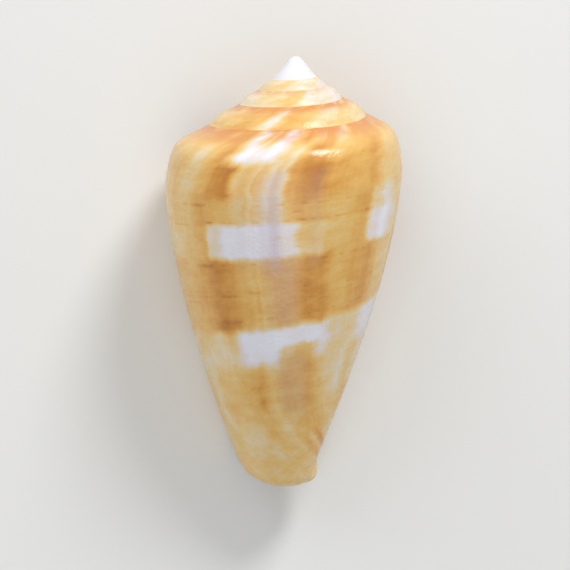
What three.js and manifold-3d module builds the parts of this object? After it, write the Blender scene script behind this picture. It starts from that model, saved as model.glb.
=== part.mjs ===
// A cone snail's shell, lying on its aperture, in millimetres with +Z up.
// The shell is worked out in its own frame first: the axis is Z, the spire's tip is at the top, and depth
// is measured down the axis. A place on it is a turn of growth, 0 at the lip and -1 one whorl earlier, and
// a depth. The last lines lay the shell down the way it rests on a table.

import * as THREE from 'three';
import { mergeVertices } from 'three/addons/utils/BufferGeometryUtils.js';
import Module from 'manifold-3d';

// Growth: how much wider the shell is after each turn, and how many turns there are
const GROWTH_PER_TURN = 1.529;
const SPIRE_TURNS = 6.5;
const TIP_DEPTH = 0.2;
const TIP_ANGLES = [50, 25]; // of the knob at the tip, in degrees from its middle

// The suture, the line where a whorl joins the one before it, at the lip
const SUTURE_RADIUS = 8.22;
const SUTURE_DEPTH = 6.68;
const DEPTH_GROWTH = 0.803; // below 1 the spire's outline is hollow, above 1 it is domed

// A whorl's outline at the lip, from the suture over the ramp and shoulder to the widest point.
// Depths are measured from the suture.
const RAMP_RADIUS = 11.06;
const RAMP_DEPTH = 1.69;
const SHOULDER_RADIUS = 12.03;
const SHOULDER_DEPTH = 0.78;
const WIDEST_RADIUS = 12.49;
const WIDEST_DEPTH = 6;
const EARLY_STRAIGHTENING = 0.75; // share of the bulge between sutures that the first whorl lacks

// The side of the last whorl narrows down to the base
const BASE_DEPTH = 40.2;
const BASE_RADIUS = 5.46;
const SIDE_CURVE = 1.53;
const BASE_RISE = 2.6; // how much shorter the shell is at the lip than at the back
const BASE_RISE_START = -0.27; // the turn where the base is lowest and starts to rise to the lip
const BASE_ROUNDING = 0.8;
const BASE_ROUNDING_ANGLES = [35, 65, 90]; // degrees

// The pillar in the middle swells to a low ridge near the base
const PILLAR_RADIUS = 2;
const PILLAR_RIDGE_DEPTH = 38.8;
const PILLAR_TAPER_UP = 0.016;
const PILLAR_TAPER_DOWN = 0.05;
const PILLAR_LEAST = 0.95;

// The hollow: wall thickness, the glaze it leaves on the whorl before, and how far round it goes
const WALL = 0.8;
const INWARD = 0.9; // the inner outline is the outer one moved down by a wall and inward by this much of one
const GLAZE = 0.12;
const HOLLOW_TURNS = 0.9;
const LIP_FLARE_TURNS = 0.033;
const CLEAR_TURNS = 0.12;
const CLEARANCE = 1.4;

// The lip follows the growth lines, which sweep back at the suture and at the base (radians)
const SUTURE_SWEEP = 0.42;
const BASE_SWEEP = 0.35;
const BASE_SWEEP_DEPTH = 33;

// How the shell lies: turned about its own axis, then spire raised (degrees), and worn flat underneath
const REST_ROLL = 142.3;
const REST_PITCH = 9;
const WEAR_DEPTH = 0.07;

// Facets
const COLUMNS = 48; // in one turn
const RAMP_ROWS = 4;
const SIDE_ROWS = 18;
const HOLLOW_ROWS = 16;
const SIDE_SPACING = 1.25; // above 1, rows are closer together near the shoulder
const HOLLOW_SPACING = 1.5;
const SEARCH_STEPS = 30;

const TAU = 2 * Math.PI;
const LAST_TURN = 1 / COLUMNS; // the solid runs one facet past the lip before the hollow trims it
const SIDE_LENGTH = BASE_DEPTH - SUTURE_DEPTH - WIDEST_DEPTH;
const SIDE_NARROWING = (WIDEST_RADIUS - BASE_RADIUS) / SIDE_LENGTH ** SIDE_CURVE;

const wasm = await Module();
wasm.setup();

const { clamp, lerp } = THREE.MathUtils;

function sizeAt(turn) {
  return GROWTH_PER_TURN ** turn;
}

function sutureDepth(turn) {
  return SUTURE_DEPTH * sizeAt(turn) ** DEPTH_GROWTH;
}

function sutureRadius(turn) {
  return SUTURE_RADIUS * sizeAt(turn);
}

function baseDepth(turn) {
  const risen = Math.max(1 - turn / BASE_RISE_START, 0);
  return BASE_DEPTH - BASE_RISE * risen ** 2;
}

function bezier(t, a, b, c, d) {
  const s = 1 - t;
  return s * s * s * a + 3 * s * s * t * b + 3 * s * t * t * c + t * t * t * d;
}

// Halves an interval until it closes on the place where a rising function turns positive
function risesThrough(f, low, high) {
  for (let step = 0; step < SEARCH_STEPS; step += 1) {
    const middle = (low + high) / 2;
    if (f(middle) > 0) {
      high = middle;
    } else {
      low = middle;
    }
  }
  return (low + high) / 2;
}

// Radius on the ramp and shoulder, where depth is below the suture and both are in sizes at the lip
function shoulderRadius(depth) {
  const t = risesThrough((x) => bezier(x, 0, RAMP_DEPTH, SHOULDER_DEPTH, WIDEST_DEPTH) - depth, 0, 1);
  return bezier(t, SUTURE_RADIUS, RAMP_RADIUS, SHOULDER_RADIUS, WIDEST_RADIUS);
}

function pillarRadius(depth) {
  const above = PILLAR_RIDGE_DEPTH - depth;
  const taper = above > 0 ? PILLAR_TAPER_UP : PILLAR_TAPER_DOWN;
  return Math.max(PILLAR_RADIUS - taper * above * above, PILLAR_LEAST);
}

// Radius at a turn of growth and a depth down the axis, before the end of the base is rounded
function unroundedRadius(turn, depth) {
  const size = sizeAt(turn);
  const below = (depth - sutureDepth(turn)) / size;
  if (below < WIDEST_DEPTH) {
    return size * shoulderRadius(Math.max(below, 0));
  }
  const side = size * (WIDEST_RADIUS - SIDE_NARROWING * (below - WIDEST_DEPTH) ** SIDE_CURVE);
  return Math.max(side, pillarRadius(depth));
}

// Radius of the outside, with the rounded edge at the base
function outerRadius(turn, depth) {
  const into = clamp((depth - baseDepth(turn)) / BASE_ROUNDING + 1, 0, 1);
  return unroundedRadius(turn, depth) - BASE_ROUNDING * (1 - Math.sqrt(1 - into ** 2));
}

// The exposed ramp of a spire whorl reaches out a little to meet the suture of the next whorl. The older
// the whorl, the less it bulges between its two sutures, and the last two bulge fully.
function rampRadius(turn, depth) {
  const top = sutureDepth(turn);
  const bottom = sutureDepth(turn + 1);
  const down = (depth - top) / (bottom - top);
  const reach = sutureRadius(turn + 1) - outerRadius(turn, bottom);
  const bulging = outerRadius(turn, depth) + reach * down ** 3;
  const straight = lerp(sutureRadius(turn), sutureRadius(turn + 1), down);
  return lerp(bulging, straight, EARLY_STRAIGHTENING * clamp((-turn - 1) / (SPIRE_TURNS - 1), 0, 1));
}

// A right-handed shell: seen from the tip, growth runs clockwise
function place(turn, radius, depth) {
  const angle = TAU * turn;
  return [radius * Math.cos(angle), -radius * Math.sin(angle), -depth];
}

function solidFrom(geometry) {
  geometry.deleteAttribute('normal');
  geometry.deleteAttribute('uv');
  const merged = mergeVertices(geometry);
  const vertProperties = new Float32Array(merged.attributes.position.array);
  const triVerts = new Uint32Array(merged.index.array);
  return new wasm.Manifold(new wasm.Mesh({ numProp: 3, vertProperties, triVerts }));
}

function geometryFrom(solid) {
  const mesh = solid.getMesh();
  const geometry = new THREE.BufferGeometry();
  geometry.setAttribute('position', new THREE.BufferAttribute(mesh.vertProperties, 3));
  geometry.setIndex(new THREE.BufferAttribute(mesh.triVerts, 1));
  return geometry;
}

// Collects points and triangles; a quad is given in order round its edge
class Surface {
  constructor() {
    this.points = [];
    this.faces = [];
  }

  point(xyz) {
    this.points.push(...xyz);
    return this.points.length / 3 - 1;
  }

  triangle(a, b, c) {
    if (a !== b && b !== c && c !== a) {
      this.faces.push(a, b, c);
    }
  }

  quad(a, b, c, d) {
    this.triangle(a, b, c);
    this.triangle(a, c, d);
  }

  geometry() {
    const geometry = new THREE.BufferGeometry();
    geometry.setAttribute('position', new THREE.Float32BufferAttribute(this.points, 3));
    geometry.setIndex(this.faces);
    return geometry;
  }
}

// One column of the last whorl below its ramp: the side, the rounded rim and the flat of the base
function sidePlaces(turn) {
  const top = sutureDepth(turn + 1);
  const bottom = baseDepth(turn);
  const start = bottom - BASE_ROUNDING;
  const places = [];
  for (let row = 1; row <= SIDE_ROWS; row += 1) {
    const depth = top + (start - top) * (row / SIDE_ROWS) ** SIDE_SPACING;
    places.push([outerRadius(turn, depth), depth]);
  }
  for (const angle of BASE_ROUNDING_ANGLES.map(THREE.MathUtils.degToRad)) {
    const depth = start + BASE_ROUNDING * Math.sin(angle);
    places.push([outerRadius(turn, depth), depth]);
  }
  return places;
}

// The whole outside as one closed solid, with the last whorl ending in a step at the lip
function bodySolid() {
  const surface = new Surface();
  const lastColumn = Math.round((SPIRE_TURNS + LAST_TURN) * COLUMNS);
  const turnOf = (column) => LAST_TURN - (lastColumn - column) / COLUMNS;
  const columns = [];
  for (let column = lastColumn; column >= 0; column -= 1) {
    const turn = turnOf(column);
    const inLastWhorl = column > lastColumn - COLUMNS;
    const radiusOf = inLastWhorl ? outerRadius : rampRadius;
    const top = sutureDepth(turn);
    const bottom = sutureDepth(turn + 1);
    const ids = [];
    for (let row = 0; row <= RAMP_ROWS; row += 1) {
      const shared = row === RAMP_ROWS && !inLastWhorl;
      const depth = top + (bottom - top) * (row / RAMP_ROWS);
      ids.push(shared ? columns[column + COLUMNS][0] : surface.point(place(turn, radiusOf(turn, depth), depth)));
    }
    if (column >= lastColumn - COLUMNS) {
      sidePlaces(turn).forEach(([radius, depth]) => ids.push(surface.point(place(turn, radius, depth))));
    }
    columns[column] = ids;
  }
  for (let column = 0; column < lastColumn; column += 1) {
    const [here, next] = [columns[column], columns[column + 1]];
    const rows = Math.min(here.length, next.length) - 1;
    for (let row = 0; row < rows; row += 1) {
      surface.quad(here[row], next[row], next[row + 1], here[row + 1]);
    }
  }
  closeStep(surface, columns[lastColumn], columns[lastColumn - COLUMNS]);
  closeBase(surface, columns.slice(lastColumn - COLUMNS));
  closeTip(surface, columns);
  return solidFrom(surface.geometry());
}

// The flat step between the end of the last whorl and the whorl beneath it
function closeStep(surface, end, beneath) {
  for (let row = 1; row < RAMP_ROWS; row += 1) {
    surface.triangle(end[0], end[row + 1], end[row]);
  }
  for (let row = RAMP_ROWS; row < end.length - 1; row += 1) {
    surface.quad(beneath[row], beneath[row + 1], end[row + 1], end[row]);
  }
}

function closeBase(surface, columns) {
  const pole = surface.point([0, 0, -BASE_DEPTH]);
  const rim = columns.map((ids) => ids.at(-1));
  for (let column = 0; column < rim.length - 1; column += 1) {
    surface.triangle(rim[column], rim[column + 1], pole);
  }
  surface.triangle(rim.at(-1), rim[0], pole);
}

// A point on the knob at the tip, straight above one of its lowest points
function onKnob(surface, id, angle) {
  const [x, y, z] = surface.points.slice(3 * id, 3 * id + 3);
  const inward = Math.sin(angle);
  return [x * inward, y * inward, -TIP_DEPTH + (z + TIP_DEPTH) * (1 - Math.cos(angle))];
}

// The first whorl starts round a small smooth knob, closed by rings that shrink towards the tip
function closeTip(surface, columns) {
  const firstTurn = columns.slice(0, COLUMNS + 1).map((ids) => ids[0]);
  const edge = [...firstTurn, ...columns[0].slice(0, RAMP_ROWS).reverse()];
  let outer = edge;
  for (const angle of TIP_ANGLES.map(THREE.MathUtils.degToRad)) {
    const inner = edge.slice(0, -1).map((id) => surface.point(onKnob(surface, id, angle)));
    inner.push(inner[0]);
    for (let index = 0; index < edge.length - 1; index += 1) {
      surface.quad(outer[index + 1], outer[index], inner[index], inner[index + 1]);
    }
    outer = inner;
  }
  const tip = surface.point([0, 0, -TIP_DEPTH]);
  for (let index = 0; index < edge.length - 1; index += 1) {
    surface.triangle(outer[index + 1], outer[index], tip);
  }
}

// How far the growth line at a depth lags behind its middle, as a part of a turn
function lag(turn, depth) {
  const nearSuture = clamp(1 - (depth - sutureDepth(turn)) / (sizeAt(turn) * WIDEST_DEPTH), 0, 1);
  const nearBase = clamp((depth - BASE_SWEEP_DEPTH) / (BASE_DEPTH - BASE_SWEEP_DEPTH), 0, 1.2);
  return (SUTURE_SWEEP * nearSuture ** 2 + BASE_SWEEP * nearBase ** 2) / TAU;
}

// Wall left outside the hollow: full thickness inside, rounded off to nothing at the lip, and less than
// nothing past it, so the hollow also trims what is left beyond the lip
function wallAt(turn) {
  if (turn < -LIP_FLARE_TURNS) {
    return WALL;
  }
  if (turn < 0) {
    return WALL * Math.sqrt(1 - (1 + turn / LIP_FLARE_TURNS) ** 2);
  }
  return -CLEARANCE * Math.sqrt(turn / CLEAR_TURNS);
}

// The hollow's outline at one turn, from its top corner down its outer side and back up its inner side
function hollowOutline(growth) {
  const wall = wallAt(growth);
  const turnAt = (depth) => growth - lag(growth, depth);
  const outer = (depth) => unroundedRadius(turnAt(depth), depth - wall) - INWARD * wall;
  const inner = (depth) => outerRadius(turnAt(depth) - 1, depth) + GLAZE;
  const middle = sutureDepth(growth) + WIDEST_DEPTH * sizeAt(growth);
  const below = BASE_DEPTH + CLEARANCE;
  const topStart = sutureDepth(turnAt(sutureDepth(growth))) + wall;
  const top = risesThrough((depth) => outer(depth) - inner(depth), topStart, middle);
  const bottom = risesThrough((depth) => inner(depth) - outer(depth), middle, below);
  const places = [];
  const add = (depth, radius) => places.push(place(turnAt(depth), radius, depth));
  const depthOf = (row) => top + (bottom - top) * (row / HOLLOW_ROWS) ** HOLLOW_SPACING;
  add(top, inner(top));
  for (let row = 1; row < HOLLOW_ROWS; row += 1) {
    add(depthOf(row), outer(depthOf(row)));
  }
  add(bottom, Math.max(outer(bottom), inner(bottom) + GLAZE));
  add(bottom, inner(bottom));
  for (let row = HOLLOW_ROWS - 1; row > 0; row -= 1) {
    add(depthOf(row), inner(depthOf(row)));
  }
  return places;
}

// Turns at which the hollow's outline is worked out: even steps inside, finer ones at the lip
function hollowTurns() {
  const turns = [];
  const step = 1 / COLUMNS;
  for (let turn = -HOLLOW_TURNS; turn < -LIP_FLARE_TURNS - step / 2; turn += step) {
    turns.push(turn);
  }
  for (const part of [1, 0.6, 0.25, 0.05, 0]) {
    turns.push(-LIP_FLARE_TURNS * part);
  }
  for (const part of [0.02, 0.15, 0.4, 0.7, 1]) {
    turns.push(CLEAR_TURNS * part);
  }
  return turns;
}

// The hollow that the animal lived in, with the aperture and the open canal at the base
function hollowSolid() {
  const surface = new Surface();
  const outlines = hollowTurns().map((turn) => hollowOutline(turn).map((xyz) => surface.point(xyz)));
  const count = outlines[0].length;
  for (let index = 0; index < outlines.length - 1; index += 1) {
    const [here, next] = [outlines[index], outlines[index + 1]];
    for (let row = 0; row < count; row += 1) {
      const after = (row + 1) % count;
      surface.quad(here[row], next[row], next[after], here[after]);
    }
  }
  closeOutline(surface, outlines[0], false);
  closeOutline(surface, outlines.at(-1), true);
  return solidFrom(surface.geometry());
}

// Closes an end of the hollow with strips from its outer side to its inner side
function closeOutline(surface, outline, facesGrowth) {
  const count = outline.length;
  for (let row = 0; row < HOLLOW_ROWS; row += 1) {
    const [a, b] = [outline[row], outline[row + 1]];
    const [d, c] = [outline[(count - row) % count], outline[count - row - 1]];
    if (facesGrowth) {
      surface.quad(a, d, c, b);
    } else {
      surface.quad(a, b, c, d);
    }
  }
}

// Lays the shell down, spire to +Y and back up
function layDown(geometry) {
  geometry.rotateX(-Math.PI / 2);
  geometry.rotateY(THREE.MathUtils.degToRad(REST_ROLL));
  geometry.rotateX(THREE.MathUtils.degToRad(REST_PITCH));
  geometry.computeBoundingBox();
  const { min, max } = geometry.boundingBox;
  geometry.translate(-(min.x + max.x) / 2, -(min.y + max.y) / 2, -min.z - WEAR_DEPTH);
  return geometry;
}

// Takes off what the table would have worn away where the shell touches it
function wornUnderneath(geometry) {
  const size = 4 * BASE_DEPTH;
  const below = new THREE.BoxGeometry(size, size, size).translate(0, 0, -size / 2);
  return geometryFrom(solidFrom(geometry).subtract(solidFrom(below)));
}

function makeShell() {
  const shape = geometryFrom(bodySolid().subtract(hollowSolid()));
  const geometry = wornUnderneath(layDown(shape));
  const glossy = new THREE.MeshStandardMaterial({ color: 0xe3bb78, roughness: 0.25, metalness: 0 });
  const shell = new THREE.Mesh(geometry, glossy);
  shell.name = 'shell';
  return shell;
}

const group = new THREE.Group();
group.add(makeShell());

export default group;
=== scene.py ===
# %% [markdown]
# A cone snail's shell, lying on its aperture.
#
# The shell is one piece that grew along a spiral. This lesson rebuilds it the way the animal did: one
# outline, carried round an axis and made a little larger with each turn. Every cell adds one step, from
# the bare numbers of growth to the glossy, banded surface, the light and the camera.

# %% The frame
import math

import bpy
import numpy as np
from mathutils import Matrix, Vector


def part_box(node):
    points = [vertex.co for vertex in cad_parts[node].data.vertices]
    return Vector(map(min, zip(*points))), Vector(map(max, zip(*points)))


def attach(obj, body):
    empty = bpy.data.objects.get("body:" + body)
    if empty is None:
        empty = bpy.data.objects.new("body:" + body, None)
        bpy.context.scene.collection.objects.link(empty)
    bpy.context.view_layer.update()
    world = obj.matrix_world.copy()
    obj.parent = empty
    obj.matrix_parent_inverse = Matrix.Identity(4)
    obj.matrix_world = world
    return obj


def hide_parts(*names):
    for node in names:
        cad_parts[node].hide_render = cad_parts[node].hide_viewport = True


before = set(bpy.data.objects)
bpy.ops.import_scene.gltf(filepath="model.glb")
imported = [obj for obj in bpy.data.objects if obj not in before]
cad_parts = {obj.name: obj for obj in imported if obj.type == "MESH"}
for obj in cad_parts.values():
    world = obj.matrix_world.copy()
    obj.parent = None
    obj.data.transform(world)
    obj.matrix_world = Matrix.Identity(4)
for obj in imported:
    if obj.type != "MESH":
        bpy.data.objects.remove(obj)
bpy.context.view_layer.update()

# %% [markdown]
# ## How the shell grows
# A place on the shell needs two numbers: how far the shell had grown when that place was made, counted in
# turns back from the lip, and how deep it lies below the tip, measured down the axis. Each turn multiplies
# every size by the same number, which is why a small cone and a big one have the same shape. The suture is
# the line where a whorl joins the one before it. Seven turns are drawn, because the ones before them would
# be smaller than the rounded tip. Millimetres are easier to think in here, so the mesh is turned into
# metres at the end.

# %% Growth and the suture
GROWTH_PER_TURN = 1.529
TURNS_DRAWN = 7.0
TIP_DEPTH = 0.2

SUTURE_RADIUS = 8.22
SUTURE_DEPTH = 6.68
DEPTH_GROWTH = 0.803


def size_at(turn):
    return GROWTH_PER_TURN ** turn


def suture_depth(turn):
    return SUTURE_DEPTH * size_at(turn) ** DEPTH_GROWTH


def suture_radius(turn):
    return SUTURE_RADIUS * size_at(turn)


for whorl in range(4):
    print(f"{whorl} turns before the lip the suture is {suture_radius(-whorl):.2f} mm from the axis")

# %% [markdown]
# ## The outline of a whorl
# From the suture a short ramp runs out to the shoulder, and the side falls from there to the base. One
# Bezier curve makes the ramp and the shoulder: it starts steeply at the suture, flattens, and bends down to
# the widest point. Below that a power curve narrows the side. The pillar in the middle takes over where the
# side would become thinner than it.

# %% The outline
RAMP_RADIUS, RAMP_DEPTH = 11.06, 1.69
SHOULDER_RADIUS, SHOULDER_DEPTH = 12.03, 0.78
WIDEST_RADIUS, WIDEST_DEPTH = 12.49, 6.0

BASE_DEPTH = 40.2
BASE_RADIUS = 5.46
SIDE_CURVE = 1.53
BASE_RISE = 2.6
BASE_RISE_START = -0.27
BASE_ROUNDING = 0.8

PILLAR_RADIUS = 2.0
PILLAR_RIDGE_DEPTH = 38.8
PILLAR_TAPER_UP = 0.016
PILLAR_TAPER_DOWN = 0.05
PILLAR_LEAST = 0.95
PILLAR_BLEND = 0.06

SIDE_LENGTH = BASE_DEPTH - SUTURE_DEPTH - WIDEST_DEPTH
SIDE_NARROWING = (WIDEST_RADIUS - BASE_RADIUS) / SIDE_LENGTH ** SIDE_CURVE


def bezier(t, a, b, c, d):
    s = 1 - t
    return s ** 3 * a + 3 * s * s * t * b + 3 * s * t * t * c + t ** 3 * d


ALONG = np.linspace(0, 1, 2001)
SHOULDER_DEPTHS = bezier(ALONG, 0, RAMP_DEPTH, SHOULDER_DEPTH, WIDEST_DEPTH)
SHOULDER_RADII = bezier(ALONG, SUTURE_RADIUS, RAMP_RADIUS, SHOULDER_RADIUS, WIDEST_RADIUS)


def base_depth(turn):
    risen = np.maximum(1 - turn / BASE_RISE_START, 0)
    return BASE_DEPTH - BASE_RISE * risen ** 2


def pillar_radius(depth):
    above = PILLAR_RIDGE_DEPTH - depth
    taper = np.where(above > 0, PILLAR_TAPER_UP, PILLAR_TAPER_DOWN)
    return np.maximum(PILLAR_RADIUS - taper * above ** 2, PILLAR_LEAST)


def larger_of(a, b, blend):
    """The larger of two values, with a soft corner where they meet."""
    return np.maximum(a, b) + blend * np.log1p(np.exp(-np.abs(a - b) / blend))


def unrounded_radius(turn, depth):
    """Radius at a turn of growth and a depth, before the end of the base is rounded."""
    size = size_at(turn)
    below = (depth - suture_depth(turn)) / size
    shoulder = np.interp(below, SHOULDER_DEPTHS, SHOULDER_RADII)
    side = WIDEST_RADIUS - SIDE_NARROWING * np.maximum(below - WIDEST_DEPTH, 0) ** SIDE_CURVE
    outline = size * np.where(below < WIDEST_DEPTH, shoulder, side)
    pillar = larger_of(outline, pillar_radius(depth), PILLAR_BLEND)
    return np.where(below < WIDEST_DEPTH, outline, pillar)


def outer_radius(turn, depth):
    """Radius of the outside, with the rounded edge at the base."""
    into = np.clip((depth - base_depth(turn)) / BASE_ROUNDING + 1, 0, 1)
    return unrounded_radius(turn, depth) - BASE_ROUNDING * (1 - np.sqrt(1 - into ** 2))


print(f"At the lip the shell is {outer_radius(0.0, SUTURE_DEPTH + WIDEST_DEPTH):.1f} mm from axis to side")

# %% [markdown]
# ## Relief
# Growth never runs evenly. The edge of the shell stopped and started again, and each pause left a faint
# ridge that follows the old lip from the suture to the base. Those ridges lean back near the suture and
# again near the base, so a place's growth line needs a small correction to its turn, called the lag here.
# Fine threads also run round the base. The relief is a few hundredths of a millimetre, so it is added to
# the outline as a formula: a bump texture would not show in the outline or in the mesh.

# %% Growth lines and relief
TAU = 2 * math.pi
SUTURE_SWEEP = 0.42
BASE_SWEEP = 0.35
BASE_SWEEP_DEPTH = 33.0

RIDGES = [(61, 0.012, 0.3), (97, 0.008, 1.9), (37, 0.012, 4.1), (23, 0.01, 2.2)]
RIDGE_DRIFT = 0.35
RIDGE_FADE = 2.0
BASE_THREADS = 1.25
BASE_THREAD_HEIGHT = 0.012
BASE_THREAD_START = 27.0


def lag(turn, depth):
    """How far the growth line at a depth lies behind its middle, in turns."""
    below = (depth - suture_depth(turn)) / (size_at(turn) * WIDEST_DEPTH)
    near_suture = np.clip(1 - below, 0, 1)
    near_base = np.clip((depth - BASE_SWEEP_DEPTH) / (BASE_DEPTH - BASE_SWEEP_DEPTH), 0, 1.2)
    return (SUTURE_SWEEP * near_suture ** 2 + BASE_SWEEP * near_base ** 2) / TAU


def relief(turn, depth):
    """Height of the ridges and threads on the outside, in millimetres."""
    grown = turn + lag(turn, depth)
    height = 0.0
    for per_turn, amount, start in RIDGES:
        drift = RIDGE_DRIFT * np.sin(0.37 * depth + start)
        height = height + amount * np.sin(TAU * per_turn * grown + start + drift)
    strength = np.clip((depth - BASE_THREAD_START) / 6, 0, 1) * np.clip((BASE_DEPTH - depth) / 1.5, 0, 1)
    threads = np.sin(TAU * depth / BASE_THREADS + 0.6 * np.sin(9 * turn))
    girth = outer_radius(turn, depth) / WIDEST_RADIUS
    return height * girth ** RIDGE_FADE + BASE_THREAD_HEIGHT * strength * threads


def surface_radius(turn, depth):
    """Radius of the outside with its relief."""
    return outer_radius(turn, depth) + relief(turn, depth)


print("The highest ridge stands", round(sum(r[1] for r in RIDGES), 3), "mm proud")

# %% [markdown]
# ## The outside as one closed mesh
# Columns of points go round the axis from the tip to the lip, and each column runs down the part of its
# whorl that can be seen. A spire whorl ends where the next whorl covers it, and both share those points, so
# no gap can open at the suture. The last whorl goes on down to the base. The mesh has to be closed for the
# boolean that comes later, so a step closes the lip end, a fan closes the base and rings close the tip.
#
# The oldest whorls have been knocked about longest, and their steps are worn away. So a whorl bulges less
# between its sutures the older it is, and the tip is a plain cone, a little wider than the spiral alone.
#
# Each corner of a face also keeps its turn and its depth. They sit on corners instead of points because the
# same point at a suture belongs to two whorls.

# %% Columns of the outside
COLUMNS = 240
RAMP_ROWS = 12
SIDE_ROWS = 120
ROUND_ROWS = 8
PAST_LIP = 5
TIP_RINGS = 7

LAST_TURN = PAST_LIP / COLUMNS
LAST_COLUMN = round((TURNS_DRAWN + LAST_TURN) * COLUMNS)
STRAIGHT_FROM = 4.4
TIP_WIDENING = 0.3
TIP_WIDENING_DEPTH = 2.2


def tip_widening(depth):
    """The oldest whorls are worn down to a plain blunt cone, a little wider than the spiral alone."""
    return TIP_WIDENING * np.maximum(1 - (depth / TIP_WIDENING_DEPTH) ** 2, 0)


def ramp_radius(turn, depth):
    """Radius of a spire whorl: it meets the next suture, and bulges less the older it is."""
    top = suture_depth(turn)
    bottom = suture_depth(turn + 1)
    down = (depth - top) / (bottom - top)
    gap = suture_radius(turn + 1) - surface_radius(turn, bottom)
    bulging = surface_radius(turn, depth) + gap * down ** 3
    straight = suture_radius(turn) + (suture_radius(turn + 1) - suture_radius(turn)) * down
    share = min(max((-turn - 1) / (STRAIGHT_FROM - 1), 0), 1) ** 2
    return bulging + (straight - bulging) * share + tip_widening(depth)


def side_depths(turn):
    """Depths of the rows below the ramp: the side, then the rounded edge of the base."""
    top = suture_depth(turn + 1)
    start = base_depth(turn) - BASE_ROUNDING
    rows = np.arange(1, SIDE_ROWS + 1) / SIDE_ROWS
    side = top + (start - top) * rows ** 1.15
    corner = start + BASE_ROUNDING * np.sin(np.linspace(0, math.pi / 2, ROUND_ROWS + 1)[1:])
    return np.concatenate([side, corner])


class Shape:
    """Points and faces, with the shell's own numbers on each face corner."""

    def __init__(self):
        self.points = []
        self.faces = []
        self.corners = []

    def point(self, turn, radius, depth):
        angle = TAU * turn
        self.points.append((radius * math.cos(angle), -depth, radius * math.sin(angle)))
        return len(self.points) - 1

    def face(self, *corners):
        """Each corner is (point, turn, depth); corners that share a point are left out."""
        kept = [c for i, c in enumerate(corners) if c[0] != corners[i - 1][0]]
        if len(kept) > 2:
            self.faces.append([c[0] for c in kept])
            self.corners.extend(kept)


def outside_columns(shape):
    columns = [None] * (LAST_COLUMN + 1)
    for column in range(LAST_COLUMN, -1, -1):
        turn = LAST_TURN - (LAST_COLUMN - column) / COLUMNS
        in_last_whorl = column > LAST_COLUMN - COLUMNS
        depths = np.linspace(suture_depth(turn), suture_depth(turn + 1), RAMP_ROWS + 1)
        radii = (surface_radius if in_last_whorl else ramp_radius)(turn, depths)
        corners = []
        for row, (depth, radius) in enumerate(zip(depths, radii)):
            if row == RAMP_ROWS and not in_last_whorl:
                point = columns[column + COLUMNS][0][0]
            else:
                point = shape.point(turn, radius, depth)
            corners.append((point, turn, depth))
        if column >= LAST_COLUMN - COLUMNS:
            depths = side_depths(turn)
            for depth, radius in zip(depths, surface_radius(turn, depths)):
                corners.append((shape.point(turn, radius, depth), turn, depth))
        columns[column] = corners
    return columns


def skin_columns(shape, columns):
    for here, following in zip(columns, columns[1:]):
        for row in range(min(len(here), len(following)) - 1):
            shape.face(here[row], following[row], following[row + 1], here[row + 1])


outside = Shape()
columns = outside_columns(outside)
skin_columns(outside, columns)
print(len(columns), "columns,", len(outside.points), "points and", len(outside.faces), "faces outside")

# %% Closing the outside
def close_step(shape, end, beneath):
    """The step between the end of the last whorl and the whorl under it."""
    for row in range(1, RAMP_ROWS):
        shape.face(end[0], end[row + 1], end[row])
    for row in range(RAMP_ROWS, len(end) - 1):
        shape.face(beneath[row], beneath[row + 1], end[row + 1], end[row])


def close_base(shape, columns):
    rim = [column[-1] for column in columns]
    pole = shape.point(0.0, 0.0, BASE_DEPTH)
    for here, following in zip(rim, rim[1:] + rim[:1]):
        shape.face(here, following, (pole, here[1], BASE_DEPTH))


def close_tip(shape, columns):
    """The first whorl starts round a small rounded point, closed by rings that shrink towards the tip."""
    edge = [column[0] for column in columns[:COLUMNS + 1]] + columns[0][RAMP_ROWS - 1:0:-1]
    outer = edge
    for ring in range(1, TIP_RINGS):
        shrink = 1 - ring / TIP_RINGS
        inner = []
        for point, turn, depth in edge:
            x, y, z = shape.points[point]
            shape.points.append((x * shrink, (y + TIP_DEPTH) * shrink ** 2 - TIP_DEPTH, z * shrink))
            inner.append((len(shape.points) - 1, turn, depth))
        for i in range(len(edge)):
            j = (i + 1) % len(edge)
            shape.face(outer[j], outer[i], inner[i], inner[j])
        outer = inner
    tip = shape.point(0.0, 0.0, TIP_DEPTH)
    for i in range(len(edge)):
        j = (i + 1) % len(edge)
        shape.face(outer[j], outer[i], (tip, outer[i][1], TIP_DEPTH))


close_step(outside, columns[LAST_COLUMN], columns[LAST_COLUMN - COLUMNS])
close_base(outside, columns[LAST_COLUMN - COLUMNS:])
close_tip(outside, columns)
print("Closed outside:", len(outside.faces), "faces")

# %% [markdown]
# ## The hollow
# The animal's room is a second closed mesh, swept backwards from the lip along the same spiral. Its outer
# side keeps one wall's thickness from the outside, and its inner side lies on the whorl before, under a
# film of glaze. At the lip the wall rounds off to nothing, and past the lip it goes below nothing, so that
# when the hollow is cut from the outside it also trims the step away and leaves a clean, thin lip. The
# corners of the outline, where the two sides meet, have no formula, so they are found by halving.

# %% The hollow's outline
WALL = 0.8
INWARD = 0.9
GLAZE = 0.12
GLAZE_AT_LIP = 0.025
GLAZE_TURNS = 0.2
HOLLOW_TURNS = 0.9
LIP_FLARE_TURNS = 0.033
CLEAR_TURNS = 0.12
CLEARANCE = 1.4
HOLLOW_ROWS = 84
HALVINGS = 40


def wall_at(turn):
    """Wall left outside the hollow, rounded off to nothing at the lip and less than nothing past it."""
    if turn < -LIP_FLARE_TURNS:
        return WALL
    if turn < 0:
        return WALL * math.sqrt(1 - (1 + turn / LIP_FLARE_TURNS) ** 2)
    return -CLEARANCE * math.sqrt(turn / CLEAR_TURNS)


def glaze_at(turn):
    """The film on the whorl beneath thickens from the lip into the shell."""
    inside = min(max(-turn / GLAZE_TURNS, 0), 1)
    return GLAZE_AT_LIP + (GLAZE - GLAZE_AT_LIP) * inside ** 2 * (3 - 2 * inside)


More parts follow.
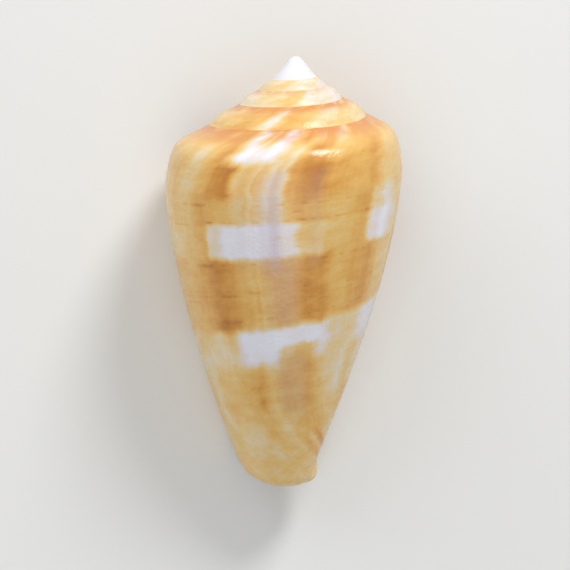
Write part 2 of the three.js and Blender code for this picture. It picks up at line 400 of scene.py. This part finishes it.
def depth_where(rises, low, high):
    """Depth between low and high at which a value rises through nothing."""
    for _ in range(HALVINGS):
        middle = (low + high) / 2
        if rises(middle) > 0:
            high = middle
        else:
            low = middle
    return (low + high) / 2


def hollow_outline(growth):
    """(turn, radius, depth, side) round the hollow; side is 1 at the wall and 0 at the whorl beneath."""
    wall, glaze = wall_at(growth), glaze_at(growth)

    def turn_at(depth):
        return growth - lag(growth, depth)

    def outer(depth):
        return unrounded_radius(turn_at(depth), depth - wall) - INWARD * wall

    def inner(depth):
        return surface_radius(turn_at(depth) - 1, depth) + glaze

    middle = suture_depth(growth) + WIDEST_DEPTH * size_at(growth)
    start = suture_depth(turn_at(suture_depth(growth))) + wall
    top = depth_where(lambda d: outer(d) - inner(d), start, middle)
    bottom = depth_where(lambda d: inner(d) - outer(d), middle, BASE_DEPTH + CLEARANCE)
    rows = np.arange(1, HOLLOW_ROWS) / HOLLOW_ROWS
    depths = top + (bottom - top) * rows ** 1.5
    turns = turn_at(depths)
    wall_side = list(zip(turns, outer(depths), depths, [1] * len(depths)))
    whorl_side = list(zip(turns, inner(depths), depths, [0] * len(depths)))
    low_corner = [(turn_at(bottom), max(outer(bottom), inner(bottom) + glaze), bottom, 1),
                  (turn_at(bottom), inner(bottom), bottom, 0)]
    return [(turn_at(top), inner(top), top, 1)] + wall_side + low_corner + whorl_side[::-1]


print("The hollow's outline at the lip has", len(hollow_outline(0.0)), "points")

# %% Sweeping the hollow
LIP_STEPS = 14
PAST_LIP_STEPS = 10


def hollow_turns():
    """Even steps inside, finer ones round the lip and a few past it."""
    inside = np.arange(-HOLLOW_TURNS, -LIP_FLARE_TURNS - 0.5 / COLUMNS, 1 / COLUMNS)
    quarter = np.linspace(0, math.pi / 2, LIP_STEPS)
    lip = -LIP_FLARE_TURNS * (1 - np.sin(quarter))
    past = CLEAR_TURNS * np.linspace(0, 1, PAST_LIP_STEPS + 1)[1:] ** 2
    return [float(t) for t in np.concatenate([inside, lip, past])]


def make_hollow(turns):
    """The hollow, and how many turns in from the lip each of its points is."""
    shape = Shape()
    outlines = []
    for growth in turns:
        ring = []
        for turn, radius, depth, side in hollow_outline(growth):
            ring.append((shape.point(turn, radius, depth), turn if side else turn - 1, depth))
        outlines.append(ring)
    count = len(outlines[0])
    for here, following in zip(outlines, outlines[1:]):
        for row in range(count):
            after = (row + 1) % count
            shape.face(here[row], following[row], following[after], here[after])
    for ring, reverse in ((outlines[0], False), (outlines[-1], True)):
        for row in range(HOLLOW_ROWS):
            a, b = ring[row], ring[row + 1]
            d, c = ring[(count - row) % count], ring[count - row - 1]
            shape.face(*((a, d, c, b) if reverse else (a, b, c, d)))
    return shape, np.repeat(np.maximum(-np.array(turns), 0), count)


hollow, turns_inside = make_hollow(hollow_turns())
print("Hollow:", len(hollow.points), "points and", len(hollow.faces), "faces")

# %% [markdown]
# ## Cutting the hollow out
# Blender's boolean modifier takes one closed mesh away from another. Its manifold solver is quick on big
# clean meshes and carries the corner attributes over, so every new face still knows its place on the
# spiral. The result keeps many-sided faces along the cut, and those are split before smooth shading.

# %% Blender meshes
MILLIMETRE = 0.001


def mesh_object(name, shape, inside):
    """An object with the shell's own numbers on its face corners; inside has one number for each point."""
    mesh = bpy.data.meshes.new(name)
    mesh.from_pydata(shape.points, [], shape.faces)
    points = np.array([corner[0] for corner in shape.corners])
    turns = np.array([corner[1] for corner in shape.corners])
    depths = np.array([corner[2] for corner in shape.corners])
    numbers = {
        "age": -turns - lag(turns, depths),
        "below": (depths - suture_depth(turns)) / size_at(turns),
        "inside": inside[points],
    }
    for key, values in numbers.items():
        attribute = mesh.attributes.new(key, "FLOAT", "CORNER")
        attribute.data.foreach_set("value", values.astype(np.float32))
    mesh.validate()
    made = bpy.data.objects.new(name, mesh)
    bpy.context.scene.collection.objects.link(made)
    return made


def cut(name, solid, tool):
    """A new object: solid with tool cut out of it. Both are used up."""
    modifier = solid.modifiers.new("cut", "BOOLEAN")
    modifier.operation = "DIFFERENCE"
    modifier.solver = "MANIFOLD"
    modifier.object = tool
    ready = solid.evaluated_get(bpy.context.evaluated_depsgraph_get())
    mesh = bpy.data.meshes.new_from_object(ready)
    mesh.name = name
    for used in (solid, tool):
        spent = used.data
        bpy.data.objects.remove(used)
        bpy.data.meshes.remove(spent)
    made = bpy.data.objects.new(name, mesh)
    bpy.context.scene.collection.objects.link(made)
    return made


body = mesh_object("outside", outside, np.zeros(len(outside.points)))
shell = cut("shell_surface", body, mesh_object("hollow", hollow, turns_inside))
print("After the cut:", len(shell.data.vertices), "points and", len(shell.data.polygons), "faces")

# %% [markdown]
# ## Laying the shell down
# A shell put down on a table rolls until it lies on its aperture, touching with the bulge of the whorl
# beside the aperture and with the edge of the lip. The roll about the axis and the pitch of the axis below
# come from balancing the real shape. The two places that touch are worn a little flat.

# %% The resting place
REST_ROLL = math.radians(142.3)
REST_PITCH = math.radians(9.0)
WEAR_DEPTH = 0.07


def lay_down(piece):
    """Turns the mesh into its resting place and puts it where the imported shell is, in metres."""
    mesh = piece.data
    mesh.transform(Matrix.Rotation(REST_PITCH, 4, "X") @ Matrix.Rotation(REST_ROLL, 4, "Y"))
    places = np.empty(len(mesh.vertices) * 3)
    mesh.vertices.foreach_get("co", places)
    places = places.reshape(-1, 3)
    low, high = places.min(axis=0), places.max(axis=0)
    packed_low, packed_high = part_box("shell")
    for axis in (0, 1):
        middle = (packed_low[axis] + packed_high[axis]) / 2 / MILLIMETRE
        places[:, axis] += middle - (low[axis] + high[axis]) / 2
    places[:, 2] = np.maximum(places[:, 2] - low[2] - WEAR_DEPTH, 0)
    mesh.vertices.foreach_set("co", (places * MILLIMETRE).ravel())
    mesh.update()
    return places.max(axis=0) - places.min(axis=0)


print("The shell measures", [round(float(side), 2) for side in lay_down(shell)], "mm")

# %% [markdown]
# ## Clean faces and soft shading
# Along the cut the solver leaves many-sided faces and a few points that nearly coincide. The near doubles
# are merged and the many-sided faces split. Everything is shaded smooth, except along edges where two faces
# turn by more than 38 degrees.

# %% Finishing the mesh
import bmesh

NEAR_DOUBLE = 0.004 * MILLIMETRE
SHARP_ANGLE = math.radians(38)


def tidy_mesh(mesh):
    work = bmesh.new()
    work.from_mesh(mesh)
    bmesh.ops.dissolve_degenerate(work, dist=NEAR_DOUBLE, edges=work.edges)
    many_sided = [face for face in work.faces if len(face.verts) > 4]
    bmesh.ops.triangulate(work, faces=many_sided)
    faulty_edges = sum(1 for edge in work.edges if not edge.is_manifold)
    work.to_mesh(mesh)
    work.free()
    mesh.shade_smooth()
    mesh.set_sharp_from_angle(angle=SHARP_ANGLE)
    return faulty_edges


faulty_edges = tidy_mesh(shell.data)
triangles = sum(len(face.vertices) - 2 for face in shell.data.polygons)
print(triangles, "triangles, and", faulty_edges, "tiny edges that are loose or have too many faces")

# %% [markdown]
# ## Small tools for painting
# A shader is a graph of nodes. Written out one node at a time it is long and hard to read, so this helper
# adds a node and returns its result in one call. Numbers and results can be mixed freely as inputs. A
# colour ramp holds at most 32 stops, so a long row of runs is shared between two ramps.

# %% The painting tools
MOST_RUNS = 16


class Paint:
    """Adds nodes to one material and hands back their results."""

    def __init__(self, tree):
        self.tree = tree

    def node(self, kind, inputs=(), output=0, **settings):
        node = self.tree.nodes.new(kind)
        for key, value in settings.items():
            setattr(node, key, value)
        for socket, value in dict(inputs).items():
            if isinstance(value, bpy.types.NodeSocket):
                self.tree.links.new(value, node.inputs[socket])
            else:
                node.inputs[socket].default_value = value
        return node.outputs[output]

    def number(self, operation, *values, clamp=False):
        return self.node("ShaderNodeMath", enumerate(values), operation=operation, use_clamp=clamp)

    def mix(self, amount, first, second):
        """Goes from the first number to the second as amount goes from 0 to 1."""
        return self.node("ShaderNodeMix", {0: amount, 2: first, 3: second})

    def blend(self, amount, first, second, way="MIX"):
        """The same for two colours, which are sockets 6 and 7 of the node."""
        inputs = {0: amount, 6: first, 7: second}
        return self.node("ShaderNodeMix", inputs, 2, data_type="RGBA", blend_type=way)

    def step(self, value, low, high, kind="SMOOTHSTEP"):
        """0 below low, 1 above high and a soft rise between; low may be the higher of the two."""
        inputs = {"Value": value, "From Min": low, "From Max": high}
        return self.node("ShaderNodeMapRange", inputs, interpolation_type=kind)

    def window(self, value, low, high, soft):
        rise = self.step(value, self.number("SUBTRACT", low, soft), self.number("ADD", low, soft))
        fall = self.step(value, self.number("ADD", high, soft), self.number("SUBTRACT", high, soft))
        return self.number("MULTIPLY", rise, fall)

    def attribute(self, name):
        return self.node("ShaderNodeAttribute", output=2, attribute_name=name)

    def noise(self, x, y, detail=2.0, roughness=0.5, seed=0.0):
        """Noise from 0 to 1 over two coordinates; a seed gives another patch of it."""
        place = self.node("ShaderNodeCombineXYZ", {0: x, 1: y, 2: seed})
        inputs = {"Vector": place, "Scale": 1.0, "Detail": detail, "Roughness": roughness}
        return self.node("ShaderNodeTexNoise", inputs)

    def spread(self, age, below, along, across, *noise):
        """Noise over the shell: along and across say how fine it is each way, the rest is for noise()."""
        x = self.number("MULTIPLY", age, along)
        return self.noise(x, self.number("MULTIPLY", below, across), *noise)

    def shifted(self, value, noise, amount):
        """A value pushed both ways by noise."""
        return self.number("MULTIPLY_ADD", self.number("SUBTRACT", noise, 0.5), amount, value)

    def ramp(self, value, stops, kind="LINEAR"):
        """A colour ramp; a stop is (place, colour), and a plain number is a shade of grey."""
        result = self.node("ShaderNodeValToRGB", {0: value})
        elements = result.node.color_ramp.elements
        result.node.color_ramp.interpolation = kind
        while len(elements) < len(stops):
            elements.new(0.5)
        for element, (place, colour) in zip(elements, sorted(stops, key=lambda stop: stop[0])):
            element.position = place
            element.color = (*colour, 1) if isinstance(colour, tuple) else (colour, colour, colour, 1)
        return result

    def stretches(self, value, runs, soft):
        """Steady values in a row, each (start, amount), with soft changes between them."""
        if len(runs) > MOST_RUNS:
            middle = len(runs) // 2
            start = runs[middle][0]
            into = self.step(value, start - soft, start + soft, "LINEAR")
            first = self.stretches(value, runs[:middle], soft)
            return self.mix(into, first, self.stretches(value, runs[middle:], soft))
        stops = [(0.0, runs[0][1])]
        for (_, before), (start, amount) in zip(runs, runs[1:]):
            stops += [(start - soft, before), (start + soft, amount)]
        return self.ramp(value, stops)


print("Painting tools ready")

# %% [markdown]
# ## Where on the shell
# Three numbers come from the mesh: how many turns of growth ago a place was made, how far it lies below its
# suture at the size of the last whorl, and how many turns in from the lip it is, which is nothing outside.
# In the first two numbers the animal's bands are straight: every colour band keeps its place between suture
# and base while the whorl grows. Near the base the growth lines bend more than the relief does, so the age
# is bent a little further there.

# %% Coordinates on the shell
BASE_BEND_START = 27.0
BASE_BEND_LENGTH = 9.0
BASE_BEND = 0.085


def shell_place(paint):
    """(age in turns along the bent growth line, depth below the suture)."""
    age, below = paint.attribute("age"), paint.attribute("below")
    into = paint.number("DIVIDE", paint.number("SUBTRACT", below, BASE_BEND_START), BASE_BEND_LENGTH)
    bend = paint.number("POWER", paint.number("MAXIMUM", into, 0.0), 2.0)
    return paint.number("MULTIPLY_ADD", bend, -BASE_BEND, age), below


# %% [markdown]
# ## The bands of the last whorl
# The edge of the mantle lays down colour like a row of pens. Each band is one pen, which was pressed hard
# for a while, then lightly, then lifted. So a band is written here as a few runs: from this age on, this
# much pigment. Zero is bare porcelain and one is the deepest brown. Where two bands meet, the line between
# them wanders a little and jumps at some growth lines.

# %% The bands
SUTURE_BAND = [(0.0, 0.5), (0.1, 0.5), (0.15, 0.6), (0.19, 0.72), (0.219, 0.04), (0.238, 0.12),
               (0.25, 0.5), (0.263, 0.0), (0.292, 0.3), (0.31, 0.74), (0.335, 0.3), (0.35, 0.58),
               (0.363, 0.22), (0.392, 0.5), (0.43, 0.64), (0.5, 0.6), (0.9, 0.5)]
SHOULDER_BAND = [(0.0, 0.46), (0.12, 0.42), (0.165, 0.3), (0.18, 0.48), (0.196, 0.76), (0.228, 0.0),
                 (0.262, 0.14), (0.27, 0.0), (0.3, 0.5), (0.312, 0.2), (0.332, 0.84), (0.363, 0.5),
                 (0.41, 0.58), (0.438, 0.66), (0.466, 0.42), (0.502, 0.46), (0.6, 0.5), (0.75, 0.15),
                 (0.9, 0.5)]
UPPER_BAND = [(0.0, 0.46), (0.16, 0.36), (0.2, 0.52), (0.216, 0.74), (0.236, 0.86), (0.254, 0.4),
              (0.274, 0.54), (0.288, 0.3), (0.3, 0.42), (0.312, 0.22), (0.321, 0.62), (0.337, 0.78),
              (0.353, 0.9), (0.384, 0.64), (0.402, 0.58), (0.432, 0.54), (0.446, 0.66), (0.476, 0.4),
              (0.52, 0.44), (0.6, 0.6), (0.7, 0.3), (0.8, 0.7)]
STREAKED_BAND = [(0.0, 0.4), (0.15, 0.44), (0.198, 0.64), (0.222, 0.48), (0.262, 0.34), (0.277, 0.44),
                 (0.29, 0.28), (0.3, 0.36), (0.313, 0.24), (0.322, 0.36), (0.341, 0.66), (0.36, 0.6),
                 (0.386, 0.42), (0.422, 0.6), (0.47, 0.3), (0.48, 0.14), (0.52, 0.4), (0.6, 0.5),
                 (0.7, 0.3), (0.8, 0.6)]
WHITE_BAND = [(0.0, 0.38), (0.13, 0.34), (0.16, 0.42), (0.2, 0.56), (0.222, 0.2), (0.231, 0.02),
              (0.322, 0.12), (0.358, 0.4), (0.367, 0.2), (0.379, 0.44), (0.43, 0.52), (0.467, 0.14),
              (0.478, 0.0), (0.51, 0.2), (0.53, 0.4), (0.6, 0.05), (0.69, 0.5), (0.75, 0.02),
              (0.9, 0.45)]
BROWN_BAND = [(0.0, 0.48), (0.13, 0.5), (0.19, 0.6), (0.212, 0.82), (0.236, 0.68), (0.263, 0.52),
              (0.278, 0.42), (0.292, 0.52), (0.303, 0.62), (0.345, 0.6), (0.356, 0.8), (0.376, 0.7),
              (0.391, 0.5), (0.435, 0.6), (0.452, 0.7), (0.482, 0.4), (0.55, 0.7), (0.7, 0.45),
              (0.77, 0.8), (0.92, 0.6)]
LOWER_WHITE_BAND = [(0.0, 0.32), (0.12, 0.34), (0.2, 0.24), (0.225, 0.34), (0.243, 0.0), (0.33, 0.03),
                    (0.4, 0.26), (0.44, 0.3), (0.476, 0.04), (0.53, 0.2), (0.6, 0.4), (0.68, 0.02),
                    (0.8, 0.3), (0.92, 0.05)]
WHITE_EDGE_BAND = [(0.0, 0.3), (0.16, 0.2), (0.2, 0.26), (0.247, 0.02), (0.318, 0.3), (0.333, 0.46),
                   (0.384, 0.12), (0.402, 0.26), (0.44, 0.28), (0.476, 0.08), (0.53, 0.2), (0.6, 0.4),
                   (0.68, 0.1), (0.8, 0.3)]
BASE_BAND = [(0.0, 0.44), (0.14, 0.3), (0.167, 0.44), (0.24, 0.5), (0.264, 0.62), (0.29, 0.42),
             (0.31, 0.56), (0.345, 0.5), (0.364, 0.68), (0.381, 0.44), (0.403, 0.3), (0.438, 0.2),
             (0.462, 0.38), (0.5, 0.2), (0.56, 0.5), (0.7, 0.3), (0.8, 0.5)]
LOW_BASE_BAND = [(0.0, 0.38), (0.16, 0.3), (0.24, 0.46), (0.285, 0.3), (0.312, 0.42), (0.345, 0.52),
                 (0.4, 0.4), (0.46, 0.5), (0.6, 0.35)]
END_BAND = [(0.0, 0.38), (0.28, 0.38), (0.31, 0.62), (0.33, 0.34), (0.355, 0.74), (0.375, 0.34),
            (0.43, 0.3), (0.6, 0.34)]

BAND_TOPS = [(SHOULDER_BAND, 1.2, 0.5), (UPPER_BAND, 2.9, 0.6), (STREAKED_BAND, 6.4, 0.8),
             (WHITE_BAND, 9.0, 0.4), (BROWN_BAND, 12.5, 0.5), (LOWER_WHITE_BAND, 20.2, 0.6),
             (WHITE_EDGE_BAND, 22.4, 0.4), (BASE_BAND, 24.2, 0.8), (LOW_BASE_BAND, 30.0, 1.5),
             (END_BAND, 34.0, 1.6)]
RUN_EDGE = 0.013
BAND_WANDER = 1.3
SLOW_SHIFT = 0.024
RAGGED_SHIFT = 0.013


def last_whorl_pigment(paint, age, below):
    line = paint.shifted(below, paint.spread(age, below, 40.0, 0.12, 4.0, 0.5, 4.0), BAND_WANDER)
    place = paint.shifted(age, paint.spread(age, below, 8.0, 0.3, 3.0, 0.5, 9.0), SLOW_SHIFT)
    place = paint.shifted(place, paint.spread(age, below, 30.0, 1.5, 3.0, 0.6, 5.0), RAGGED_SHIFT)
    pigment = paint.stretches(place, SUTURE_BAND, RUN_EDGE)
    for band, top, soft in BAND_TOPS:
        into = paint.step(line, top - soft, top + soft)
        pigment = paint.mix(into, pigment, paint.stretches(place, band, RUN_EDGE))
    return pigment


print(len(BAND_TOPS) + 1, "bands on the last whorl")

# %% [markdown]
# ## The spire
# On the spire only the top of each whorl shows, and its flames of orange and cream follow the same growth
# lines. They are written as one long row of runs over the next three turns, with their ages in turns. One
# noise moves their edges and mottles them. The first whorls lost their colour long ago, so the tip is
# white.

# %% The spire's flames
SPIRE_SPAN = 4.0
SPIRE_RUNS = [(1.0, 0.46), (1.06, 0.38), (1.12, 0.44), (1.19, 0.6), (1.247, 0.1), (1.275, 0.58),
              (1.32, 0.5), (1.352, 0.3), (1.42, 0.38), (1.48, 0.3), (1.54, 0.46), (1.75, 0.3),
              (1.9, 0.5), (2.06, 0.22), (2.14, 0.3), (2.28, 0.42), (2.33, 0.22), (2.42, 0.18),
              (2.6, 0.34), (3.0, 0.3), (3.2, 0.36), (3.28, 0.24), (3.6, 0.18)]
WHITE_TIP = (3.1, 4.8)
FLAME_SHIFT = 0.05
FLAME_EDGE = 0.0035
FLAME_MOTTLE = 0.45


def spire_pigment(paint, age, below):
    runs = [(start / SPIRE_SPAN, amount) for start, amount in [(0.0, SPIRE_RUNS[0][1])] + SPIRE_RUNS]
    mottle = paint.spread(age, below, 9.0, 0.9, 4.0, 0.6, 2.0)
    place = paint.shifted(age, mottle, FLAME_SHIFT)
    flames = paint.stretches(paint.number("DIVIDE", place, SPIRE_SPAN, clamp=True), runs, FLAME_EDGE)
    pigment = paint.shifted(flames, mottle, FLAME_MOTTLE)
    return paint.mix(paint.step(age, *WHITE_TIP), pigment, 0.0)


print("The colour fades from", WHITE_TIP[0], "to", WHITE_TIP[1], "turns before the lip")

# %% [markdown]
# ## Threads, streaks and mottling
# Up close the pigment is not even. Fine axial streaks follow every growth line, and the pigment gathers in
# thin spiral threads that break into dashes. Both are noise stretched along one direction of the shell: a
# streak is noise squeezed along growth, a thread is noise squeezed across it. The clearest threads and
# dashes are listed one by one: a thread is (depth, width, strength), and a dash is (age, half its length,
# depth, width, strength).

# %% Fine pigment
THREAD_LINES = [(7.05, 0.2, 1.0), (8.75, 0.2, 1.2), (13.1, 0.24, 1.0), (15.9, 0.16, 0.7),
                (16.4, 0.18, 0.9), (17.6, 0.14, 0.5), (19.0, 0.24, 0.9), (21.6, 0.14, 0.3),
                (26.5, 0.25, 0.6), (28.0, 0.2, 0.4)]
DASHES = [(0.208, 0.013, 7.05, 0.16, 0.8), (0.325, 0.006, 7.0, 0.14, 0.9),
          (0.359, 0.006, 7.0, 0.14, 0.8), (0.348, 0.007, 7.8, 0.16, 0.9),
          (0.226, 0.005, 8.75, 0.15, 0.9), (0.247, 0.003, 8.7, 0.13, 0.6),
          (0.331, 0.009, 8.75, 0.12, 0.8), (0.351, 0.006, 8.65, 0.16, 0.9),
          (0.163, 0.022, 9.15, 0.1, 0.8), (0.322, 0.003, 10.4, 0.2, 1.3),
          (0.344, 0.002, 10.3, 0.16, 1.0), (0.233, 0.003, 10.5, 0.13, 0.4),
          (0.209, 0.016, 13.2, 0.2, 0.8), (0.332, 0.01, 12.9, 0.16, 0.5),
          (0.243, 0.014, 16.3, 0.2, 0.8), (0.285, 0.008, 16.1, 0.18, 0.8),
          (0.16, 0.02, 17.0, 0.14, 0.7), (0.243, 0.016, 19.1, 0.24, 0.8),
          (0.309, 0.005, 19.0, 0.2, 0.6), (0.27, 0.006, 26.6, 0.25, 0.6),
          (0.27, 0.008, 28.1, 0.25, 0.6)]


CLOUDS = 0.48
STREAKS = 0.14
THREADS = 0.1
LINE_STRENGTH = 0.46
DASH_STRENGTH = 0.62
DASH_END = 0.004


def uneven_pigment(paint, age, below, pigment):
    """Adds cloudy patches, fine streaks along the growth lines and faint threads across them."""
    amount = paint.shifted(pigment, paint.spread(age, below, 24.0, 0.7, 5.0, 0.62, 3.0), CLOUDS)
    amount = paint.shifted(amount, paint.spread(age, below, 170.0, 0.3, 3.0, 0.6, 12.0), STREAKS)
    return paint.shifted(amount, paint.spread(age, below, 26.0, 2.6, 3.0, 0.6, 7.0), THREADS)


def marked_pigment(paint, age, below, pigment):
    """Adds the broken threads and the single dashes, which are dark even on the white."""
    shown = paint.number("MULTIPLY_ADD", paint.step(pigment, 0.02, 0.3), 0.85, 0.15)
    dashes = paint.spread(age, below, 90.0, 0.4, 3.0, 0.5, 21.0)
    shown = paint.number("MULTIPLY", shown, paint.step(dashes, 0.47, 0.62))
    lines = 0.0
    for place, width, strength in THREAD_LINES:
        line = paint.number("MULTIPLY", paint.window(below, place, place, width), LINE_STRENGTH * strength)
        lines = paint.number("ADD", line, lines)
    amount = paint.number("MULTIPLY_ADD", lines, shown, pigment)
    for turn, half, place, width, strength in DASHES:
        across = paint.window(below, place, place, 1.6 * width)
        dash = paint.number("MULTIPLY", paint.window(age, turn - half, turn + half, DASH_END), across)
        amount = paint.number("MULTIPLY_ADD", dash, DASH_STRENGTH * strength, amount)
    return amount


print(len(THREAD_LINES), "broken threads and", len(DASHES), "single dashes")

# %% [markdown]
# ## From pigment to colour
# One ramp turns the amount of pigment into a colour, from bare lilac-white porcelain through cream, yellow
# and ochre to brown, so every mixture stays in the shell's own family of colours. Three stains are laid
# over it: a lilac one in a streak where the porcelain below shows through, a mauve one in two darker patches
# under that streak, and a red one along the sutures. The inside is plain porcelain, which starts just
# behind the lip. A very shallow bump breaks the highlights into small spots, as an uneven polish does.

# %% Colours
PIGMENT_COLOURS = [(0.0, (0.82, 0.82, 0.9)), (0.12, (0.78, 0.72, 0.71)), (0.24, (0.79, 0.65, 0.42)),
                   (0.38, (0.8, 0.56, 0.22)), (0.52, (0.78, 0.46, 0.13)), (0.68, (0.7, 0.35, 0.08)),
                   (0.84, (0.58, 0.25, 0.05)), (1.0, (0.46, 0.17, 0.03))]
SUTURE_RED = (0.66, 0.24, 0.06)
LILAC = (0.54, 0.45, 0.52)
MAUVE = (0.56, 0.38, 0.3)
PORCELAIN = (0.86, 0.82, 0.8)
PORCELAIN_STARTS = (0.004, 0.05)
RED_STRENGTH = 0.9
RED_DEPTHS = (1.5, 0.1)
RED_PATCHES = (0.25, 0.6)
RED_AGES = (3.0, 1.6)
STAIN_EDGE = 0.009
ROUGHNESS = 0.24
LILAC_RUNS = [(0.0, 0.0), (0.262, 0.1), (0.298, 0.3), (0.31, 0.6), (0.322, 0.02), (0.366, 0.12),
              (0.38, 0.0), (0.6, 0.0)]
MAUVE_RUNS = [(0.0, 0.0), (0.303, 0.25), (0.322, 0.36), (0.346, 0.0), (0.6, 0.0)]
MAUVE_BASE_RUNS = [(0.0, 0.0), (0.31, 0.3), (0.364, 0.1), (0.39, 0.0), (0.6, 0.0)]


def stained(paint, colour, age, below, runs, top, bottom, stain):
    """Lays a stain along the growth lines between two depths."""
    amount = paint.stretches(age, runs, STAIN_EDGE)
    soft = paint.number("MULTIPLY", paint.step(below, *top), paint.step(below, *bottom))
    return paint.blend(paint.number("MULTIPLY", amount, soft), colour, (*stain, 1))


def outside_colour(paint, age, below):
    last = last_whorl_pigment(paint, age, below)
    spire = spire_pigment(paint, age, below)
    pigment = paint.mix(paint.step(age, 0.98, 1.02), last, spire)
    kept = paint.step(pigment, -0.02, 0.3)
    uneven = uneven_pigment(paint, age, below, pigment)
    pigment = paint.mix(paint.number("MULTIPLY_ADD", kept, 0.6, 0.4), pigment, uneven)
    pigment = marked_pigment(paint, age, below, pigment)
    pigment = paint.number("MAXIMUM", paint.number("MINIMUM", pigment, 1.0), 0.0)
    colour = paint.ramp(pigment, PIGMENT_COLOURS)
    colour = stained(paint, colour, age, below, LILAC_RUNS, (2.8, 4.5), (15.0, 12.5), LILAC)
    colour = stained(paint, colour, age, below, MAUVE_RUNS, (12.0, 13.0), (20.5, 19.8), MAUVE)
    colour = stained(paint, colour, age, below, MAUVE_BASE_RUNS, (22.4, 24.0), (33.0, 29.0), MAUVE)
    patches = paint.noise(paint.number("MULTIPLY", age, 22.0), below, 2.0, seed=31.0)
    red = paint.number("MULTIPLY", paint.step(below, *RED_DEPTHS), paint.step(patches, *RED_PATCHES))
    red = paint.number("MULTIPLY", red, paint.step(age, *RED_AGES))
    return paint.blend(paint.number("MULTIPLY", red, RED_STRENGTH), colour, (*SUTURE_RED, 1))


def dimples(paint, age, below):
    """The polish of a shell is a little uneven, so its highlights break into small spots."""
    fine = paint.spread(age, below, 150.0, 2.2, 3.0, 0.6, 41.0)
    return paint.node("ShaderNodeBump", {"Strength": 0.5, "Distance": 0.00007, "Height": fine})


def shell_material():
    material = bpy.data.materials.new("shell_finish")
    material.use_nodes = True
    paint = Paint(material.node_tree)
    shader = material.node_tree.nodes["Principled BSDF"]
    age, below = shell_place(paint)
    colour = outside_colour(paint, age, below)
    within = paint.step(paint.attribute("inside"), *PORCELAIN_STARTS)
    colour = paint.blend(within, colour, (*PORCELAIN, 1))
    material.node_tree.links.new(colour, shader.inputs["Base Color"])
    material.node_tree.links.new(dimples(paint, age, below), shader.inputs["Normal"])
    shader.inputs["Roughness"].default_value = ROUGHNESS
    return material


shell.data.materials.clear()
shell.data.materials.append(shell_material())
print("Nodes in the finish:", len(shell.data.materials[0].node_tree.nodes))

# %% [markdown]
# ## Telling the frame
# The shell is one piece on one body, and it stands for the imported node.

# %% The shell rides on its body
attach(shell, "root")
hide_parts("shell")

# %% [markdown]
# ## Floor, light and camera
# A pale floor and a pale, even sky keep the colours true. Three soft lights are discs that face the shell:
# the key beyond the spire makes the highlight on the shoulder, the fill softens its shadows from the left,
# and the top light, a little towards the base, keeps the body as bright as the spire. The camera looks down
# almost straight, from far enough away for the shell to keep its proportions.

# %% The floor
def plain_material(name, colour, roughness):
    material = bpy.data.materials.new(name)
    material.use_nodes = True
    shader = material.node_tree.nodes["Principled BSDF"]
    shader.inputs["Base Color"].default_value = (*colour, 1)
    shader.inputs["Roughness"].default_value = roughness
    return material


FLOOR_SIZE = 3.0


def make_floor():
    half = FLOOR_SIZE / 2
    mesh = bpy.data.meshes.new("floor")
    corners = [(-half, -half, 0), (half, -half, 0), (half, half, 0), (-half, half, 0)]
    mesh.from_pydata(corners, [], [(0, 1, 2, 3)])
    mesh.materials.append(plain_material("floor_paper", (0.78, 0.78, 0.77), 0.9))
    floor = bpy.data.objects.new("floor", mesh)
    bpy.context.scene.collection.objects.link(floor)
    return floor


floor = make_floor()

# %% The lights
def soft_light(name, place, target, size, watts, colour=(1, 1, 1)):
    lamp = bpy.data.lights.new(name, "AREA")
    lamp.shape = "DISK"
    lamp.size = size
    lamp.energy = watts
    lamp.color = colour
    light = bpy.data.objects.new(name, lamp)
    light.location = place
    light.rotation_euler = (Vector(target) - Vector(place)).to_track_quat("-Z", "Y").to_euler()
    bpy.context.scene.collection.objects.link(light)
    return light


middle = (0.0, 0.0, 0.01)
soft_light("key", (0.16, 0.33, 0.24), middle, 0.14, 1.2)
soft_light("fill", (-0.26, 0.31, 0.2), middle, 0.45, 0.66)
soft_light("top", (-0.05, -0.16, 0.42), middle, 0.5, 0.57)

sky = bpy.data.worlds.new("sky")
sky.use_nodes = True
sky.node_tree.nodes["Background"].inputs["Color"].default_value = (1, 1, 1, 1)
sky.node_tree.nodes["Background"].inputs["Strength"].default_value = 0.36
bpy.context.scene.world = sky
bpy.context.scene.view_settings.view_transform = "Standard"

# %% The camera
CAMERA_DISTANCE = 0.222
PICTURE_WIDTH = 0.05229
LEAN_TO_SPIRE = 0.04464
LEAN_TO_LEFT = 0.04893
PICTURE_TURN = 0.01057
PICTURE_SHIFT = 0.00006
PICTURE_DROP = 0.00098
PIVOT = Vector((0, 0, 0.009))


def make_camera():
    lens = bpy.data.cameras.new("camera")
    lens.lens = lens.sensor_width * CAMERA_DISTANCE / PICTURE_WIDTH
    lens.clip_start = 0.01
    camera = bpy.data.objects.new("camera", lens)
    turned = (Matrix.Rotation(PICTURE_TURN, 4, "Z") @ Matrix.Rotation(LEAN_TO_LEFT, 4, "Y")
              @ Matrix.Rotation(LEAN_TO_SPIRE, 4, "X")).inverted()
    camera.matrix_world = (Matrix.Translation(PIVOT) @ turned
                           @ Matrix.Translation((PICTURE_SHIFT, -PICTURE_DROP, CAMERA_DISTANCE)))
    bpy.context.scene.collection.objects.link(camera)
    return camera


bpy.context.scene.camera = make_camera()
print("Camera at", [round(c, 4) for c in bpy.context.scene.camera.location])
